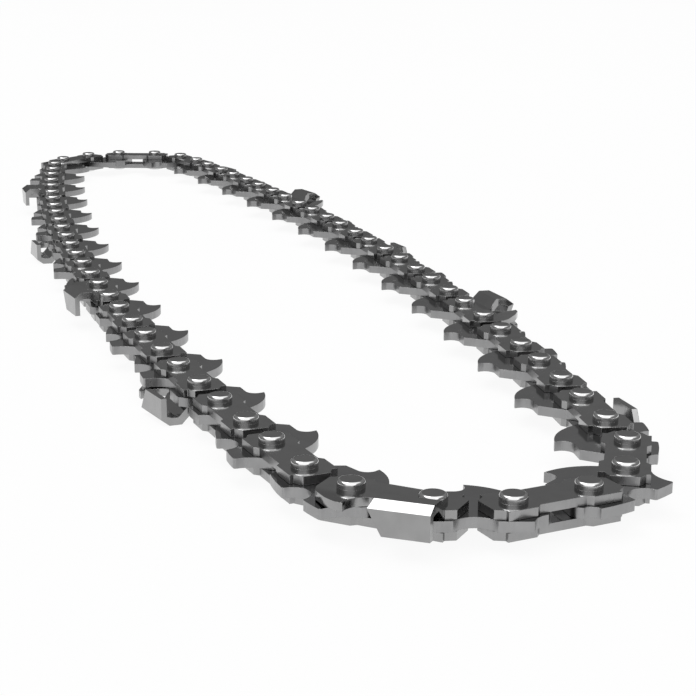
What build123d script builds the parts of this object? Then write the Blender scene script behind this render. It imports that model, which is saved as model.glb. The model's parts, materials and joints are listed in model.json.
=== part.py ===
from build123d import *
import os
from math import cos, radians, sin, tan

# Driving dimensions, in mm and degrees
DRIVE_PITCH = 8.74       # between the two rivets of a drive link
STRAP_PITCH = 9.90       # between the two rivets of an outer pair
GAUGE = 1.27             # drive link thickness
STRAP_T = 1.06           # tie strap and cutter thickness
SIDE_GAP = 0.04          # between a drive link face and the plate beside it
RUN_GAP = 0.04           # radial, rivet in a drive link hole
RIVET_R = 1.25           # rivet shank
HEAD_R = 1.63            # rivet head
HEAD_H = 0.89
LOW_HEAD_H = 0.60        # heads under the chain
HEAD_ROUND = 0.42        # rim of a rivet head

# Drive link outline: along and out from its first rivet, or from its second where said
SHOULDER_OUT = 3.59      # square shoulders of a plain link
SHOULDER_HALF = 1.94
SCOOP_OUT = 2.25         # lowest point of the hollow between the shoulders
STEP_MID = (2.55, 2.25)  # middle of the hollow beside a shoulder
NOSE_OUT = 1.45          # ends of the body
NOSE_IN = 0.33
NOSE_LONG = 3.68
NOSE_TIP = 3.93
RAMP_STEP = (-2.75, 2.05)  # hump of a guard link: a long ramp with a valley in it
RAMP_FOOT = (-2.62, 3.05)
RAMP_MID = (-0.38, 3.97)
RAMP_END = (2.25, 4.75)
VALLEY_MID = (4.25, 2.80)
CREST_START = (6.55, 5.10)
CREST_MID = (8.20, 5.33)
CREST_TIP = (10.20, 5.45)
CREST_BACK = (10.45, 3.70)
CREST_ROUND = 0.30
BELLY_IN = 5.78          # flat ahead of the tang, inside the rivet line
BELLY_START = 0.39
BELLY_END = 2.70
TANG_HOOK = (3.68, 6.26)  # hollow under the hooked tip
TANG_EDGE = (4.03, 7.18)
TANG_TIP = (3.90, 7.98)
TANG_BACK = (6.94, 6.88)
TANG_ROOT = (1.11, 3.97)  # from the second rivet

# Tie strap outline, measured from either rivet
WAIST_IN = 2.55
WAIST_OUT = 2.37
BOSS_IN = 3.10
BOSS_OUT = 2.92
BOSS_START = 1.90        # where the boss leaves the waist
BOSS_FULL = 1.30
TAB_START = 2.40
TAB_HALF = 2.40
END_HALF = 1.70
END_LONG = 3.50
END_ROUND = 0.15

# Cutter, measured from its first rivet
GAUGE_FRONT = (-2.85, 3.25)
GAUGE_BROW = (-0.75, 5.15)
GAUGE_TIP = (0.90, 6.08)
GAUGE_TOP = (1.90, 6.12)
GAUGE_FOOT = 2.20        # from here out the gauge leans off the strap plane
GAUGE_LIFT = 0.37        # at its top
GULLET_FRONT = (2.05, 3.85)
GULLET_LOW = (3.35, 2.40)
GULLET_REAR = (4.94, 3.02)
HOOK_LOW = (5.64, 4.40)  # hollow under the working corner
HOOK_HIGH = (5.54, 5.40)
LEAD_X = 5.14            # cutting edge at the working corner
LEAD_RAKE = 1.62         # the far end of the edge stands this much behind
HEEL_BACK = 2.24         # behind the second rivet
WING_LAP = 0.90          # side plate overlaps the base plate this far
FOOT_OUT = 1.85          # where the side plate starts to flare, at the heel
TOP_OUT = 6.05           # top plate, at the heel
RELIEF = 7.0             # top plate slope down to the heel
FLARE = 1.41             # side plate stands this far off the strap plane
FLARE_RUN = 1.35
BEVEL_OUT = 1.10
BEVEL_DOWN = 0.85
TOP_DROP = 2.45          # top plate reaches this far below the strap face
TOP_T = 0.78             # top plate thickness
BEND = 45.0              # each bend of the plate
BEND_ROUND = 0.35
CLEAR = 1.0              # cuts run this far past the metal

# Loop
STRAND_LINKS = 25        # links in each long side, strap to strap
STRAND_HEADING = -90     # middle of the first long side, from the far turn to the near one
STRAND_BOW = 0.645       # turn from one link to the next in a long side
NEAR_ENTRY = 12.7
NEAR_BEND = 26.26
NEAR_EXIT = 19.3
TURN_BENDS = 5           # equal bends in each turn
CUTTER_EVERY = 6         # links from one cutter to the next
FIRST_CUTTER = 2
SOLVE_STEPS = 30
SOLVE_STEP = 0.001       # degrees, for the slopes of the closing gap

# Levels above the surface that the chain lies on
Z_LOW = FLARE                                # underside of the lower plates
Z_DRIVE = Z_LOW + STRAP_T + SIDE_GAP         # underside of the drive links
Z_HIGH = Z_DRIVE + GAUGE + SIDE_GAP          # underside of the upper plates
Z_TOP = Z_HIGH + STRAP_T


def directions(far_entry, far_bend):
    middle = (STRAND_LINKS - 1) / 2
    left = [STRAND_HEADING + STRAND_BOW * (n - middle) for n in range(STRAND_LINKS)]
    near = [left[-1] + NEAR_ENTRY + NEAR_BEND * n for n in range(TURN_BENDS + 1)]
    near.append(near[-1] + NEAR_EXIT)
    right = [a + 180 for a in left]
    far = [right[-1] + STRAND_BOW]
    far += [far[0] + far_entry + far_bend * n for n in range(TURN_BENDS + 1)]
    far += [near[-1] + 180 - STRAND_BOW, near[-1] + 180]
    return left + near + right + far


def length(k):
    return DRIVE_PITCH if k % 2 else STRAP_PITCH


def closing_gap(far_entry, far_bend):
    angles = directions(far_entry, far_bend)
    gap_x = sum(length(k) * cos(radians(a)) for k, a in enumerate(angles))
    gap_y = sum(length(k) * sin(radians(a)) for k, a in enumerate(angles))
    return gap_x, gap_y


# The far turn closes the loop: its first bend and its equal bends are solved for
far_entry, far_bend = NEAR_ENTRY / 2, NEAR_BEND
for _ in range(SOLVE_STEPS):
    gx, gy = closing_gap(far_entry, far_bend)
    ax, ay = closing_gap(far_entry + SOLVE_STEP, far_bend)
    bx, by = closing_gap(far_entry, far_bend + SOLVE_STEP)
    a11, a21 = (ax - gx) / SOLVE_STEP, (ay - gy) / SOLVE_STEP
    a12, a22 = (bx - gx) / SOLVE_STEP, (by - gy) / SOLVE_STEP
    det = a11 * a22 - a12 * a21
    far_entry -= (gx * a22 - gy * a12) / det
    far_bend -= (gy * a11 - gx * a21) / det

ANGLES = directions(far_entry, far_bend)
LINKS = len(ANGLES)
CUTTERS = range(FIRST_CUTTER, LINKS, CUTTER_EVERY)
UPPER_CUTTERS = CUTTERS[:-1:2]  # every other one, and the odd one at the end stays low
PLAIN_DRIVES = [k + 1 for k in CUTTERS]
rivets = [(0.0, 0.0)]
for k in range(LINKS - 1):
    px, py = rivets[-1]
    heading = radians(ANGLES[k])
    rivets.append((px + length(k) * cos(heading), py + length(k) * sin(heading)))


def outer_point(k, along, out):
    heading = radians(ANGLES[k])
    px, py = rivets[k]
    return px + along * cos(heading) + out * sin(heading), py + along * sin(heading) - out * cos(heading)


# Centre of the loop's box, from the corners that stand out furthest
HEEL_X = STRAP_PITCH + HEEL_BACK
LEAD_OUT = TOP_OUT + (HEEL_X - LEAD_X) * tan(radians(RELIEF))
corners = []
for k in CUTTERS:
    corners += [outer_point(k, LEAD_X, LEAD_OUT), outer_point(k, HEEL_X, TOP_OUT)]
for k in range(1, LINKS, 2):
    if k not in PLAIN_DRIVES:
        corners += [outer_point(k, *RAMP_END), outer_point(k, *CREST_MID), outer_point(k, *CREST_TIP)]
mid_x = (min(c[0] for c in corners) + max(c[0] for c in corners)) / 2
mid_y = (min(c[1] for c in corners) + max(c[1] for c in corners)) / 2
rivets = [(px - mid_x, py - mid_y) for px, py in rivets]


def link_plane(k, z, up=1):
    """Sketch plane on a link: x along it from its first rivet, and y into the loop when up is 1."""
    heading = radians(ANGLES[k])
    px, py = rivets[k]
    return Plane(origin=(px, py, z), x_dir=(cos(heading), sin(heading), 0), z_dir=(0, 0, up))


def turned_out(point):
    return point[0], -point[1]


def from_second(point):
    return DRIVE_PITCH + point[0], point[1]


def plain_edge(front, back):
    """Outer edge of a plain drive link: two square shoulders with a hollow between them."""
    shoulders = [(-SHOULDER_HALF, -SHOULDER_OUT), (SHOULDER_HALF, -SHOULDER_OUT)]
    second = [from_second(p) for p in shoulders]
    step = turned_out(STEP_MID)
    ThreePointArc(front, (-step[0], step[1]), shoulders[0])
    Line(*shoulders)
    ThreePointArc(shoulders[1], (DRIVE_PITCH / 2, -SCOOP_OUT), second[0])
    Line(*second)
    ThreePointArc(second[1], from_second(step), back)


def guard_edge(front, back):
    """Outer edge of a guard drive link: a ramp up to a crest behind, with a valley between."""
    step, foot, ramp, end = [turned_out(p) for p in (RAMP_STEP, RAMP_FOOT, RAMP_MID, RAMP_END)]
    valley, start, crest = [turned_out(p) for p in (VALLEY_MID, CREST_START, CREST_MID)]
    tip, fall = turned_out(CREST_TIP), turned_out(CREST_BACK)
    ThreePointArc(front, step, foot)
    ThreePointArc(foot, ramp, end)
    ThreePointArc(end, valley, start)
    ThreePointArc(start, crest, tip)
    ThreePointArc(tip, fall, back)


def drive_link(k):
    front = (-NOSE_LONG, -NOSE_OUT)
    front_in = (-NOSE_LONG, NOSE_IN)
    back = (DRIVE_PITCH + NOSE_LONG, -NOSE_OUT)
    back_in = (DRIVE_PITCH + NOSE_LONG, NOSE_IN)
    nose_mid = (NOSE_IN - NOSE_OUT) / 2
    root = from_second(TANG_ROOT)
    with BuildPart() as link:
        with BuildSketch(link_plane(k, Z_DRIVE)) as outline:
            with BuildLine():
                if k in PLAIN_DRIVES:
                    plain_edge(front, back)
                else:
                    guard_edge(front, back)
                ThreePointArc(back, (DRIVE_PITCH + NOSE_TIP, nose_mid), back_in)
                Line(back_in, root)
                ThreePointArc(root, TANG_BACK, TANG_TIP)
                Line(TANG_TIP, TANG_EDGE)
                ThreePointArc(TANG_EDGE, TANG_HOOK, (BELLY_END, BELLY_IN))
                Polyline((BELLY_END, BELLY_IN), (BELLY_START, BELLY_IN), front_in)
                ThreePointArc(front_in, (-NOSE_TIP, nose_mid), front)
            make_face()
            if k not in PLAIN_DRIVES:
                fillet(outline.vertices().filter_by(lambda v: v.Y < -SHOULDER_OUT), CREST_ROUND)
            with Locations((0, 0), (DRIVE_PITCH, 0)):
                Circle(RIVET_R + RUN_GAP, mode=Mode.SUBTRACT)
        extrude(amount=GAUGE)
    return link.part


def strap_side(side, waist, boss):
    """Half outline from the waist to the first end, on one side of the rivet line."""
    half = [(BOSS_START, waist), (BOSS_FULL, boss), (-TAB_START, boss), (-TAB_START, TAB_HALF)]
    half.append((-END_LONG, END_HALF))
    return [(x, side * y) for x, y in half]


def far_half(points):
    return [(STRAP_PITCH - x, y) for x, y in reversed(points)]


def tie_strap(k, z):
    near = strap_side(1, WAIST_IN, BOSS_IN) + strap_side(-1, WAIST_OUT, BOSS_OUT)[::-1]
    with BuildPart() as strap:
        with BuildSketch(link_plane(k, z)) as outline:
            with BuildLine():
                Polyline(*near, *far_half(near), close=True)
            make_face()
            fillet(outline.vertices().filter_by(lambda v: abs(abs(v.Y) - END_HALF) < END_ROUND), END_ROUND)
            with Locations((0, 0), (STRAP_PITCH, 0)):
                Circle(RIVET_R, mode=Mode.SUBTRACT)
        extrude(amount=STRAP_T)
    return strap.part


def wing_section():
    """Bent plate across a cutter, as (out, height above the drive link's side)."""
    rise = STRAP_T + FLARE
    lip = STRAP_T - TOP_DROP
    inset = STRAP_T * tan(radians(BEND / 2))
    flat = FOOT_OUT + FLARE_RUN
    upper = [(FOOT_OUT - WING_LAP, STRAP_T), (FOOT_OUT, STRAP_T), (flat, rise)]
    upper += [(TOP_OUT - BEVEL_OUT, rise), (TOP_OUT, rise - BEVEL_DOWN), (TOP_OUT, lip)]
    under = [(TOP_OUT - TOP_T, lip), (TOP_OUT - TOP_T, rise - BEVEL_DOWN - inset)]
    under += [(TOP_OUT - BEVEL_OUT - inset, FLARE), (flat + inset, FLARE)]
    under += [(FOOT_OUT + inset, 0), (FOOT_OUT - WING_LAP, 0)]
    return upper + under


def gauge_plate(base, across, s, turn):
    """Depth gauge ahead of the cutting edge: its outline, kept to a plate that leans from its foot."""
    root = GAUGE_FOOT - WING_LAP
    outline = [(-END_LONG, END_HALF), GAUGE_FRONT, GAUGE_BROW, GAUGE_TIP, GAUGE_TOP]
    outline += [(GULLET_LOW[0], GAUGE_TOP[1]), (GULLET_LOW[0], root), (-END_LONG, root)]
    lean = [(root, 0), (GAUGE_FOOT, 0), (GAUGE_TOP[1], GAUGE_LIFT), (GAUGE_TOP[1], GAUGE_LIFT + STRAP_T)]
    lean += [(GAUGE_FOOT, STRAP_T), (root, STRAP_T)]
    with BuildPart() as plate:
        with BuildSketch(base):
            with BuildLine():
                Polyline(*[(x, s * y) for x, y in outline], close=True)
            make_face()
        extrude(amount=STRAP_T + GAUGE_LIFT)
        with BuildSketch(across):
            with BuildLine():
                Polyline(*[(y, turn * z) for y, z in lean], close=True)
            make_face()
        extrude(amount=HEEL_X + END_LONG, mode=Mode.INTERSECT)
    return plate.part


def cutter(k, upper):
    """Cutter in the upper layer, or turned over in the lower one; s turns the outside to +y."""
    s = -1 if upper else 1
    base = link_plane(k, Z_HIGH if upper else Z_LOW + STRAP_T, 1 if upper else -1)
    inner = strap_side(-s, WAIST_IN, BOSS_IN)
    outer = [(-END_LONG, END_HALF), (GULLET_LOW[0], END_HALF), GULLET_LOW]
    outer += [(STRAP_PITCH + TAB_START, TAB_HALF), (STRAP_PITCH + END_LONG, END_HALF)]
    outer = [(x, s * y) for x, y in outer]
    slope = radians(RELIEF)
    forward = base.x_dir * -cos(slope) + base.y_dir * (s * sin(slope))
    heel = base.location.position + base.x_dir * HEEL_X
    across = Plane(origin=heel, x_dir=base.y_dir * s, z_dir=base.x_dir * -1)
    turn = 1 if across.y_dir.dot(base.z_dir) > 0 else -1
    past = LEAD_OUT + CLEAR
    gullet = (GAUGE_TOP, GULLET_FRONT, GULLET_LOW, GULLET_REAR, HOOK_LOW, HOOK_HIGH, (LEAD_X, LEAD_OUT))
    gauge, front, low, rear, hook, high, lead = [(x, s * y) for x, y in gullet]
    side = Plane(origin=base.location.position, x_dir=base.x_dir, z_dir=base.y_dir * s)
    flip = 1 if side.y_dir.dot(base.z_dir) > 0 else -1
    edge_top = STRAP_T + FLARE - BEVEL_DOWN
    rake = [(LEAD_X - CLEAR, edge_top), (LEAD_X, edge_top), (LEAD_X + LEAD_RAKE, STRAP_T - TOP_DROP)]
    rake += [(LEAD_X + LEAD_RAKE, -TOP_DROP), (LEAD_X - CLEAR, -TOP_DROP)]
    with BuildPart() as blade:
        with BuildSketch(base):
            with BuildLine():
                Polyline(*inner, *outer, *far_half(inner), close=True)
            make_face()
        extrude(amount=STRAP_T)
        add(gauge_plate(base, across, s, turn))
        with BuildSketch(across) as bent:
            with BuildLine():
                Polyline(*[(y, turn * z) for y, z in wing_section()], close=True)
            make_face()
            fillet(bent.vertices().filter_by(lambda v: abs(turn * v.Y - FLARE) < BEND_ROUND / 2), BEND_ROUND)
        extrude(amount=(HEEL_X - GULLET_LOW[0]) / cos(slope), dir=forward)
        with BuildSketch(base):
            with BuildLine():
                Line((gauge[0], s * past), gauge)
                ThreePointArc(gauge, front, low)
                ThreePointArc(low, rear, hook)
                ThreePointArc(hook, high, lead)
                Polyline(lead, (LEAD_X, s * past), (gauge[0], s * past))
            make_face()
        extrude(amount=STRAP_T + TOP_DROP, both=True, mode=Mode.SUBTRACT)
        with BuildSketch(side.offset(TOP_OUT - STRAP_T)):
            with BuildLine():
                Polyline(*[(x, flip * z) for x, z in rake], close=True)
            make_face()
        extrude(amount=past - TOP_OUT + STRAP_T, mode=Mode.SUBTRACT)
        with BuildSketch(base):
            with Locations((0, 0), (STRAP_PITCH, 0)):
                Circle(RIVET_R)
        extrude(amount=STRAP_T, mode=Mode.SUBTRACT)
    return blade.part


def rivet(n):
    px, py = rivets[n]
    bottom, top = Z_LOW - LOW_HEAD_H, Z_TOP + HEAD_H
    flat, rim = HEAD_R - HEAD_ROUND, HEAD_ROUND * (1 - cos(radians(45)))
    with BuildPart() as pin:
        with BuildSketch(Plane(origin=(px, py, 0), x_dir=(1, 0, 0), z_dir=(0, -1, 0))):
            with BuildLine():
                Polyline((flat, bottom), (0, bottom), (0, top), (flat, top))
                ThreePointArc((flat, top), (HEAD_R - rim, top - rim), (HEAD_R, top - HEAD_ROUND))
                Polyline((HEAD_R, top - HEAD_ROUND), (HEAD_R, Z_TOP), (RIVET_R, Z_TOP), (RIVET_R, Z_LOW),
                         (HEAD_R, Z_LOW), (HEAD_R, bottom + HEAD_ROUND))
                ThreePointArc((HEAD_R, bottom + HEAD_ROUND), (HEAD_R - rim, bottom + rim), (flat, bottom))
            make_face()
        revolve(axis=Axis((px, py, 0), (0, 0, 1)))
    return pin.part


def outer_pair(k):
    """Two plates and the two rivets that hold them, as separate solids."""
    if k in CUTTERS:
        upper = k in UPPER_CUTTERS
        plates = [cutter(k, upper), tie_strap(k, Z_LOW if upper else Z_HIGH)]
    else:
        plates = [tie_strap(k, Z_LOW), tie_strap(k, Z_HIGH)]
    return plates + [rivet(k), rivet(k + 1)]


def pair_name(k):
    if k not in CUTTERS:
        return f"tie_straps_{k // 2 + 1:02d}"
    return f"cutter_{'right' if k in UPPER_CUTTERS else 'left'}_{k // 2 + 1:02d}"


# The links of each turn that share one node
far_start = 2 * STRAND_LINKS + TURN_BENDS + 2
NEAR_DRIVES = range(STRAND_LINKS, STRAND_LINKS + TURN_BENDS, 2)
FAR_DRIVES = range(far_start, LINKS - 2, 2)
FAR_STRAPS = range(far_start + 1, far_start + TURN_BENDS, 2)

os.makedirs("parts", exist_ok=True)
for k in range(LINKS):
    if k in NEAR_DRIVES or k in FAR_DRIVES or k in FAR_STRAPS:
        continue
    if k % 2:
        node = drive_link(k)
        node.label = f"drive_link_{k // 2 + 1:02d}"
    else:
        node = Compound(children=outer_pair(k))
        node.label = pair_name(k)
    export_step(node, f"parts/{node.label}.step")

groups = {
    "drive_links_near_turn": [drive_link(k) for k in NEAR_DRIVES],
    "drive_links_far_turn": [drive_link(k) for k in FAR_DRIVES],
    "tie_straps_far_turn": [solid for k in FAR_STRAPS for solid in outer_pair(k)],
}
for name, solids in groups.items():
    node = Compound(children=solids)
    node.label = name
    export_step(node, f"parts/{name}.step")
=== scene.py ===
import json
from math import radians

import bpy
from mathutils import Matrix, Vector

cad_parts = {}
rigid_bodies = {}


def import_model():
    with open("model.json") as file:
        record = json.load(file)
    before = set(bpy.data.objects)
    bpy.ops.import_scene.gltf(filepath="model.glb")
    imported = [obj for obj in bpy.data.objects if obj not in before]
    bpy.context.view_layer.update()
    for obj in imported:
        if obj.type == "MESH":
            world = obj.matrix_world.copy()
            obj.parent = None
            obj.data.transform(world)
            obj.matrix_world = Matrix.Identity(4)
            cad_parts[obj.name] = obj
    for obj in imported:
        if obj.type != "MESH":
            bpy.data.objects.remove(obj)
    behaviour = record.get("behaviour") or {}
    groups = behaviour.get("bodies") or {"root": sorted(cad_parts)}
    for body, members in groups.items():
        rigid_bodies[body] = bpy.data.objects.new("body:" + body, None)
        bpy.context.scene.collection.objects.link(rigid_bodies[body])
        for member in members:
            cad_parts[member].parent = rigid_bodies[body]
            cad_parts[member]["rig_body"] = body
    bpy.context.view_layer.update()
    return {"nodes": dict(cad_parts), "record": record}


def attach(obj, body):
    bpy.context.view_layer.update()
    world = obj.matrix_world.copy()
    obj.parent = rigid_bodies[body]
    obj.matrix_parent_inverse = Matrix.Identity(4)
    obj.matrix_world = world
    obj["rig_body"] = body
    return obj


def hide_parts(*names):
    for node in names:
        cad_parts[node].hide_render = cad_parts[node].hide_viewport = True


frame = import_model()
scene = bpy.context.scene
scene.view_settings.view_transform = "Standard"

MM = 0.001

# View of the photograph: a long lens from the near end of the loop, turned to its left
HEADING = radians(-17.49)
DIP = radians(14.811)
ROLL = radians(0.335)
EYE = Vector((-67.79, -290.53, 64.35)) * MM
LENS = 81.19
SENSOR = 36.0
NEAREST = 0.01
FARTHEST = 20.0


def place_camera():
    bpy.ops.object.camera_add()
    camera = bpy.context.object
    camera.name = "photo_camera"
    camera.data.lens = LENS
    camera.data.sensor_width = SENSOR
    camera.data.clip_start = NEAREST
    camera.data.clip_end = FARTHEST
    turn = Matrix.Rotation(HEADING, 4, "Z") @ Matrix.Rotation(radians(90) - DIP, 4, "X")
    camera.matrix_world = Matrix.Translation(EYE) @ turn @ Matrix.Rotation(ROLL, 4, "Z")
    scene.camera = camera


# Finishes; a noise is given by its scale and its detail

NOISE_MIDDLE = (0.3, 0.7)
MOTTLE = (420.0, 4.0)
RUBBING = (800.0, 3.0)
DENTS = (900.0, 2.0)
GRAIN_DETAIL = 3.0
DENT_DEPTH = 0.02 * MM
EDGE_FACING = (0.985, 0.86)
EDGE_SAMPLES = 4


def new_finish(name):
    material = bpy.data.materials.new(name)
    material.use_nodes = True
    nodes, links = material.node_tree.nodes, material.node_tree.links
    return material, nodes, links, nodes["Principled BSDF"]


def spread(nodes, links, value, band, low, high):
    """A value stretched from a band to another range, and held inside it."""
    stretch = nodes.new("ShaderNodeMapRange")
    for name, number in zip(("From Min", "From Max", "To Min", "To Max"), (*band, low, high)):
        stretch.inputs[name].default_value = number
    links.new(value, stretch.inputs["Value"])
    return stretch.outputs["Result"]


def speckle(nodes, links, place, kind, low, high):
    """Noise on the piece's own coordinates, stretched between two values."""
    noise = nodes.new("ShaderNodeTexNoise")
    noise.inputs["Scale"].default_value, noise.inputs["Detail"].default_value = kind
    links.new(place, noise.inputs["Vector"])
    return spread(nodes, links, noise.outputs["Fac"], NOISE_MIDDLE, low, high)


def blend(nodes, links, amount, first, second):
    """A mix of two colours by an amount; each may be a colour or the output of a node."""
    mix = nodes.new("ShaderNodeMix")
    mix.data_type = "RGBA"
    links.new(amount, mix.inputs["Factor"])
    for name, colour in (("A", first), ("B", second)):
        if isinstance(colour, tuple):
            mix.inputs[name].default_value = (*colour, 1.0)
        else:
            links.new(colour, mix.inputs[name])
    return mix.outputs["Result"]


def steel(name, dark, light, worn, smooth, rough, grain, stretch, dents, ease):
    """Bare steel: a mottled tone, a grain in its gloss, rubbed edges and a slightly uneven face."""
    material, nodes, links, shader = new_finish(name)
    shader.inputs["Metallic"].default_value = 1.0
    here = nodes.new("ShaderNodeTexCoord").outputs["Object"]
    eased = nodes.new("ShaderNodeBevel")
    eased.samples = EDGE_SAMPLES
    eased.inputs["Radius"].default_value = ease
    facing = nodes.new("ShaderNodeVectorMath")
    facing.operation = "DOT_PRODUCT"
    links.new(eased.outputs["Normal"], facing.inputs[0])
    links.new(nodes.new("ShaderNodeNewGeometry").outputs["Normal"], facing.inputs[1])
    edge = spread(nodes, links, facing.outputs["Value"], EDGE_FACING, 0.0, 1.0)
    rubbed = nodes.new("ShaderNodeMath")
    rubbed.operation = "MULTIPLY"
    links.new(edge, rubbed.inputs[0])
    links.new(speckle(nodes, links, here, RUBBING, 0.25, 1.0), rubbed.inputs[1])
    mottle = speckle(nodes, links, here, MOTTLE, 0.0, 1.0)
    tone = blend(nodes, links, mottle, dark, light)
    links.new(blend(nodes, links, rubbed.outputs[0], tone, worn), shader.inputs["Base Color"])
    along = nodes.new("ShaderNodeMapping")
    along.inputs["Scale"].default_value = stretch
    links.new(here, along.inputs["Vector"])
    gloss = speckle(nodes, links, along.outputs["Vector"], (grain, GRAIN_DETAIL), smooth, rough)
    links.new(gloss, shader.inputs["Roughness"])
    uneven = speckle(nodes, links, here, DENTS, 0.0, 1.0)
    bump = nodes.new("ShaderNodeBump")
    bump.inputs["Strength"].default_value = dents
    bump.inputs["Distance"].default_value = DENT_DEPTH
    links.new(uneven, bump.inputs["Height"])
    links.new(eased.outputs["Normal"], bump.inputs["Normal"])
    links.new(bump.outputs["Normal"], shader.inputs["Normal"])
    return material


EDGE = 0.07 * MM
RIVET_EDGE = 0.02 * MM
ROLLED = (1.0, 0.12, 1.0)
SHEARED = (1.0, 1.0, 0.10)
drive_flat = steel("drive_link_flat_steel", (0.33, 0.33, 0.334), (0.37, 0.37, 0.374), (0.47, 0.47, 0.47),
                   0.09, 0.15, 2600.0, ROLLED, 0.05, EDGE)
drive_side = steel("drive_link_sheared_steel", (0.30, 0.30, 0.302), (0.35, 0.35, 0.352), (0.42, 0.42, 0.42),
                   0.26, 0.36, 2600.0, SHEARED, 0.08, EDGE)
strap_flat = steel("tie_strap_flat_steel", (0.34, 0.34, 0.342), (0.38, 0.38, 0.382), (0.48, 0.48, 0.48),
                   0.07, 0.12, 2600.0, ROLLED, 0.04, EDGE)
strap_side = steel("tie_strap_sheared_steel", (0.30, 0.30, 0.301), (0.35, 0.35, 0.351), (0.42, 0.42, 0.42),
                   0.26, 0.36, 2600.0, SHEARED, 0.08, EDGE)
cutter_flat = steel("cutter_plated_steel", (0.35, 0.35, 0.35), (0.39, 0.39, 0.39), (0.50, 0.50, 0.50),
                    0.06, 0.11, 2200.0, ROLLED, 0.04, EDGE)
cutter_side = steel("cutter_ground_steel", (0.30, 0.30, 0.30), (0.34, 0.34, 0.34), (0.42, 0.42, 0.42),
                    0.14, 0.22, 2200.0, SHEARED, 0.06, EDGE)
rivet_steel = steel("rivet_head_steel", (0.36, 0.36, 0.36), (0.41, 0.41, 0.41), (0.46, 0.46, 0.46),
                    0.10, 0.15, 2400.0, ROLLED, 0.04, RIVET_EDGE)
# Rivet rims: this steel is painted much lighter than the rest, a painted highlight that makes the rounded
# rims look bright; only its rubbed edges are wear
rim_with_painted_highlight = steel("painted_highlight_rim_steel", (0.70, 0.70, 0.70), (0.76, 0.76, 0.76), (0.78, 0.78, 0.78),
                  0.08, 0.13, 2400.0, ROLLED, 0.04, RIVET_EDGE)
rivet_wall = steel("rivet_wall_steel", (0.35, 0.35, 0.35), (0.40, 0.40, 0.40), (0.44, 0.44, 0.44),
                   0.24, 0.34, 2400.0, SHEARED, 0.05, RIVET_EDGE)

# How a face is told apart: rivets are taller than any plate, and a level face's normal has a height of 1
PLATE_TALLEST = 4.2 * MM
UPRIGHT = 0.35
RIM_LOW = 0.12
RIM_HIGH = 0.985
FLAT, SIDE, HEAD, RIM, WALL = range(5)
MERGE = 0.0005 * MM
SMOOTH_BELOW = radians(30)
SLOTS = {part["node"]: part["material_slot"] for part in frame["record"]["subparts"]}
FINISHES = {"drive_steel": (drive_flat, drive_side), "strap_steel": (strap_flat, strap_side),
            "cutter_steel": (cutter_flat, cutter_side)}


def loose_parts(mesh):
    """The solids of a merged mesh, each as a set of face numbers."""
    faces_at = {}
    for face in mesh.polygons:
        for vertex in face.vertices:
            faces_at.setdefault(vertex, []).append(face.index)
    seen, parts = set(), []
    for face in mesh.polygons:
        if face.index in seen:
            continue
        part, waiting = set(), [face.index]
        while waiting:
            index = waiting.pop()
            if index in part:
                continue
            part.add(index)
            for vertex in mesh.polygons[index].vertices:
                waiting += [n for n in faces_at[vertex] if n not in part]
        seen |= part
        parts.append(part)
    return parts


def dress(name, node, flat, side):
    """A merged copy of a CAD node that stands for it, with its flats, cut sides and rivets finished apart."""
    piece = bpy.data.objects.new("dressed_" + name, node.data.copy())
    scene.collection.objects.link(piece)
    bpy.ops.object.select_all(action="DESELECT")
    piece.select_set(True)
    bpy.context.view_layer.objects.active = piece
    piece.data.materials.clear()
    for finish in (flat, side, rivet_steel, rim_with_painted_highlight, rivet_wall):
        piece.data.materials.append(finish)
    bpy.ops.object.mode_set(mode="EDIT")
    bpy.ops.mesh.select_all(action="SELECT")
    bpy.ops.mesh.customdata_custom_splitnormals_clear()
    bpy.ops.mesh.remove_doubles(threshold=MERGE)
    bpy.ops.object.mode_set(mode="OBJECT")
    mesh = piece.data
    for part in loose_parts(mesh):
        heights = [mesh.vertices[v].co.z for f in part for v in mesh.polygons[f].vertices]
        rivet = max(heights) - min(heights) > PLATE_TALLEST
        for f in part:
            face = mesh.polygons[f]
            level = abs(face.normal.z)
            if rivet:
                face.material_index = WALL if level < RIM_LOW else RIM if level < RIM_HIGH else HEAD
            else:
                face.material_index = SIDE if level < UPRIGHT else FLAT
    bpy.ops.object.shade_smooth_by_angle(angle=SMOOTH_BELOW)
    even = piece.modifiers.new("even_flats", "WEIGHTED_NORMAL")
    even.keep_sharp = True
    bpy.ops.object.modifier_apply(modifier=even.name)
    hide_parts(name)
    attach(piece, node["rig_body"])


for name, node in sorted(frame["nodes"].items()):
    dress(name, node, *FINISHES[SLOTS[name]])


# Stage: a pale floor that views and gloss see as white, with a faint shadow left on it

WHITE_SHARE = 0.92
FLOOR_SIZE = 8.0
FLOOR_PATCHES = (3.0, 2.0)
FLOOR_TONES = (0.88, 0.92)


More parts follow.
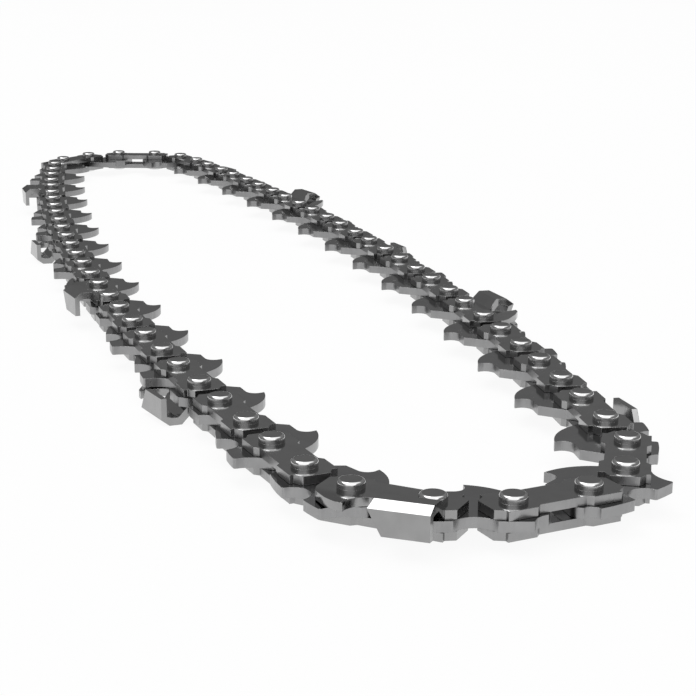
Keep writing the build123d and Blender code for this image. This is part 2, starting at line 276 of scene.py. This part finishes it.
def lay_floor():
    bpy.ops.object.select_all(action="DESELECT")
    bpy.ops.mesh.primitive_plane_add(size=FLOOR_SIZE, location=(0, 0, 0))
    floor = bpy.context.object
    floor.name = "pale_floor"
    material, nodes, links, shader = new_finish("pale_floor_paint")
    here = nodes.new("ShaderNodeTexCoord").outputs["Object"]
    links.new(speckle(nodes, links, here, FLOOR_PATCHES, *FLOOR_TONES), shader.inputs["Base Color"])
    shader.inputs["Roughness"].default_value = 0.7
    shader.inputs["Specular IOR Level"].default_value = 0.0
    glow = nodes.new("ShaderNodeEmission")
    rays = nodes.new("ShaderNodeLightPath")
    seen = rays.outputs["Is Camera Ray"]
    for ray in ("Is Glossy Ray", "Is Transmission Ray"):
        either = nodes.new("ShaderNodeMath")
        either.operation = "MAXIMUM"
        links.new(seen, either.inputs[0])
        links.new(rays.outputs[ray], either.inputs[1])
        seen = either.outputs[0]
    mix = nodes.new("ShaderNodeMixShader")
    links.new(spread(nodes, links, seen, (0.0, 1.0), 0.0, WHITE_SHARE), mix.inputs["Fac"])
    links.new(shader.outputs[0], mix.inputs[1])
    links.new(glow.outputs[0], mix.inputs[2])
    links.new(mix.outputs[0], nodes["Material Output"].inputs["Surface"])
    floor.data.materials.append(material)


# Light: a dim room, with a pale arch of cloth from behind the camera over the top, and two soft boxes

CLOTH_ACROSS = (0.866, -0.50, 0.0)
CLOTH_LEAN = (-0.30, -0.52, 0.80)
CLOTH_LIGHT = 1.3
CLOTH_FOOT = 0.25
CLOTH_SIDES = (0.44, 0.74)
CLOTH_BACK = (0.15, 0.35)
CLOTH_RISE = (0.18, 0.42)
ROOM_LIGHT = 0.21
ROOM_FOOT = 0.11
ROOM_RISE = (0.12, 0.30)
UP = (0.0, 0.0, 1.0)


def light_room():
    world = bpy.data.worlds.new("studio_room")
    scene.world = world
    world.use_nodes = True
    nodes, links = world.node_tree.nodes, world.node_tree.links
    way = nodes.new("ShaderNodeTexCoord").outputs["Generated"]

    def against(direction):
        dot = nodes.new("ShaderNodeVectorMath")
        dot.operation = "DOT_PRODUCT"
        dot.inputs[1].default_value = direction
        links.new(way, dot.inputs[0])
        return dot.outputs["Value"]

    def joined(operation, first, second=None):
        step = nodes.new("ShaderNodeMath")
        step.operation = operation
        links.new(first, step.inputs[0])
        if second is not None:
            links.new(second, step.inputs[1])
        return step.outputs[0]

    off_middle = joined("ABSOLUTE", against(CLOTH_ACROSS))
    cloth = spread(nodes, links, off_middle, CLOTH_SIDES, CLOTH_LIGHT, 0.0)
    cloth = joined("MULTIPLY", cloth, spread(nodes, links, against(CLOTH_LEAN), CLOTH_BACK, 0.0, 1.0))
    height = against(UP)
    cloth = joined("MULTIPLY", cloth, spread(nodes, links, height, CLOTH_RISE, CLOTH_FOOT, 1.0))
    room = spread(nodes, links, height, ROOM_RISE, ROOM_FOOT, ROOM_LIGHT)
    links.new(joined("MAXIMUM", cloth, room), nodes["Background"].inputs["Strength"])
    nodes["Background"].inputs["Color"].default_value = (1.0, 1.0, 1.0, 1.0)


def soft_box(name, place, across, deep, power):
    """A lamp that faces the middle of the loop."""
    bpy.ops.object.light_add(type="AREA", location=place)
    lamp = bpy.context.object
    lamp.name = name
    lamp.data.shape = "RECTANGLE"
    lamp.data.size = across
    lamp.data.size_y = deep
    lamp.data.energy = power
    aim = -Vector(place)
    lamp.rotation_euler = aim.to_track_quat("-Z", "Y").to_euler()


lay_floor()
light_room()
soft_box("bevel_soft_box", (-0.474, 0.327, 1.38), 0.80, 0.70, 5.2)
soft_box("front_soft_box", (0.345, -1.10, 0.965), 0.40, 0.40, 0.5)
place_camera()
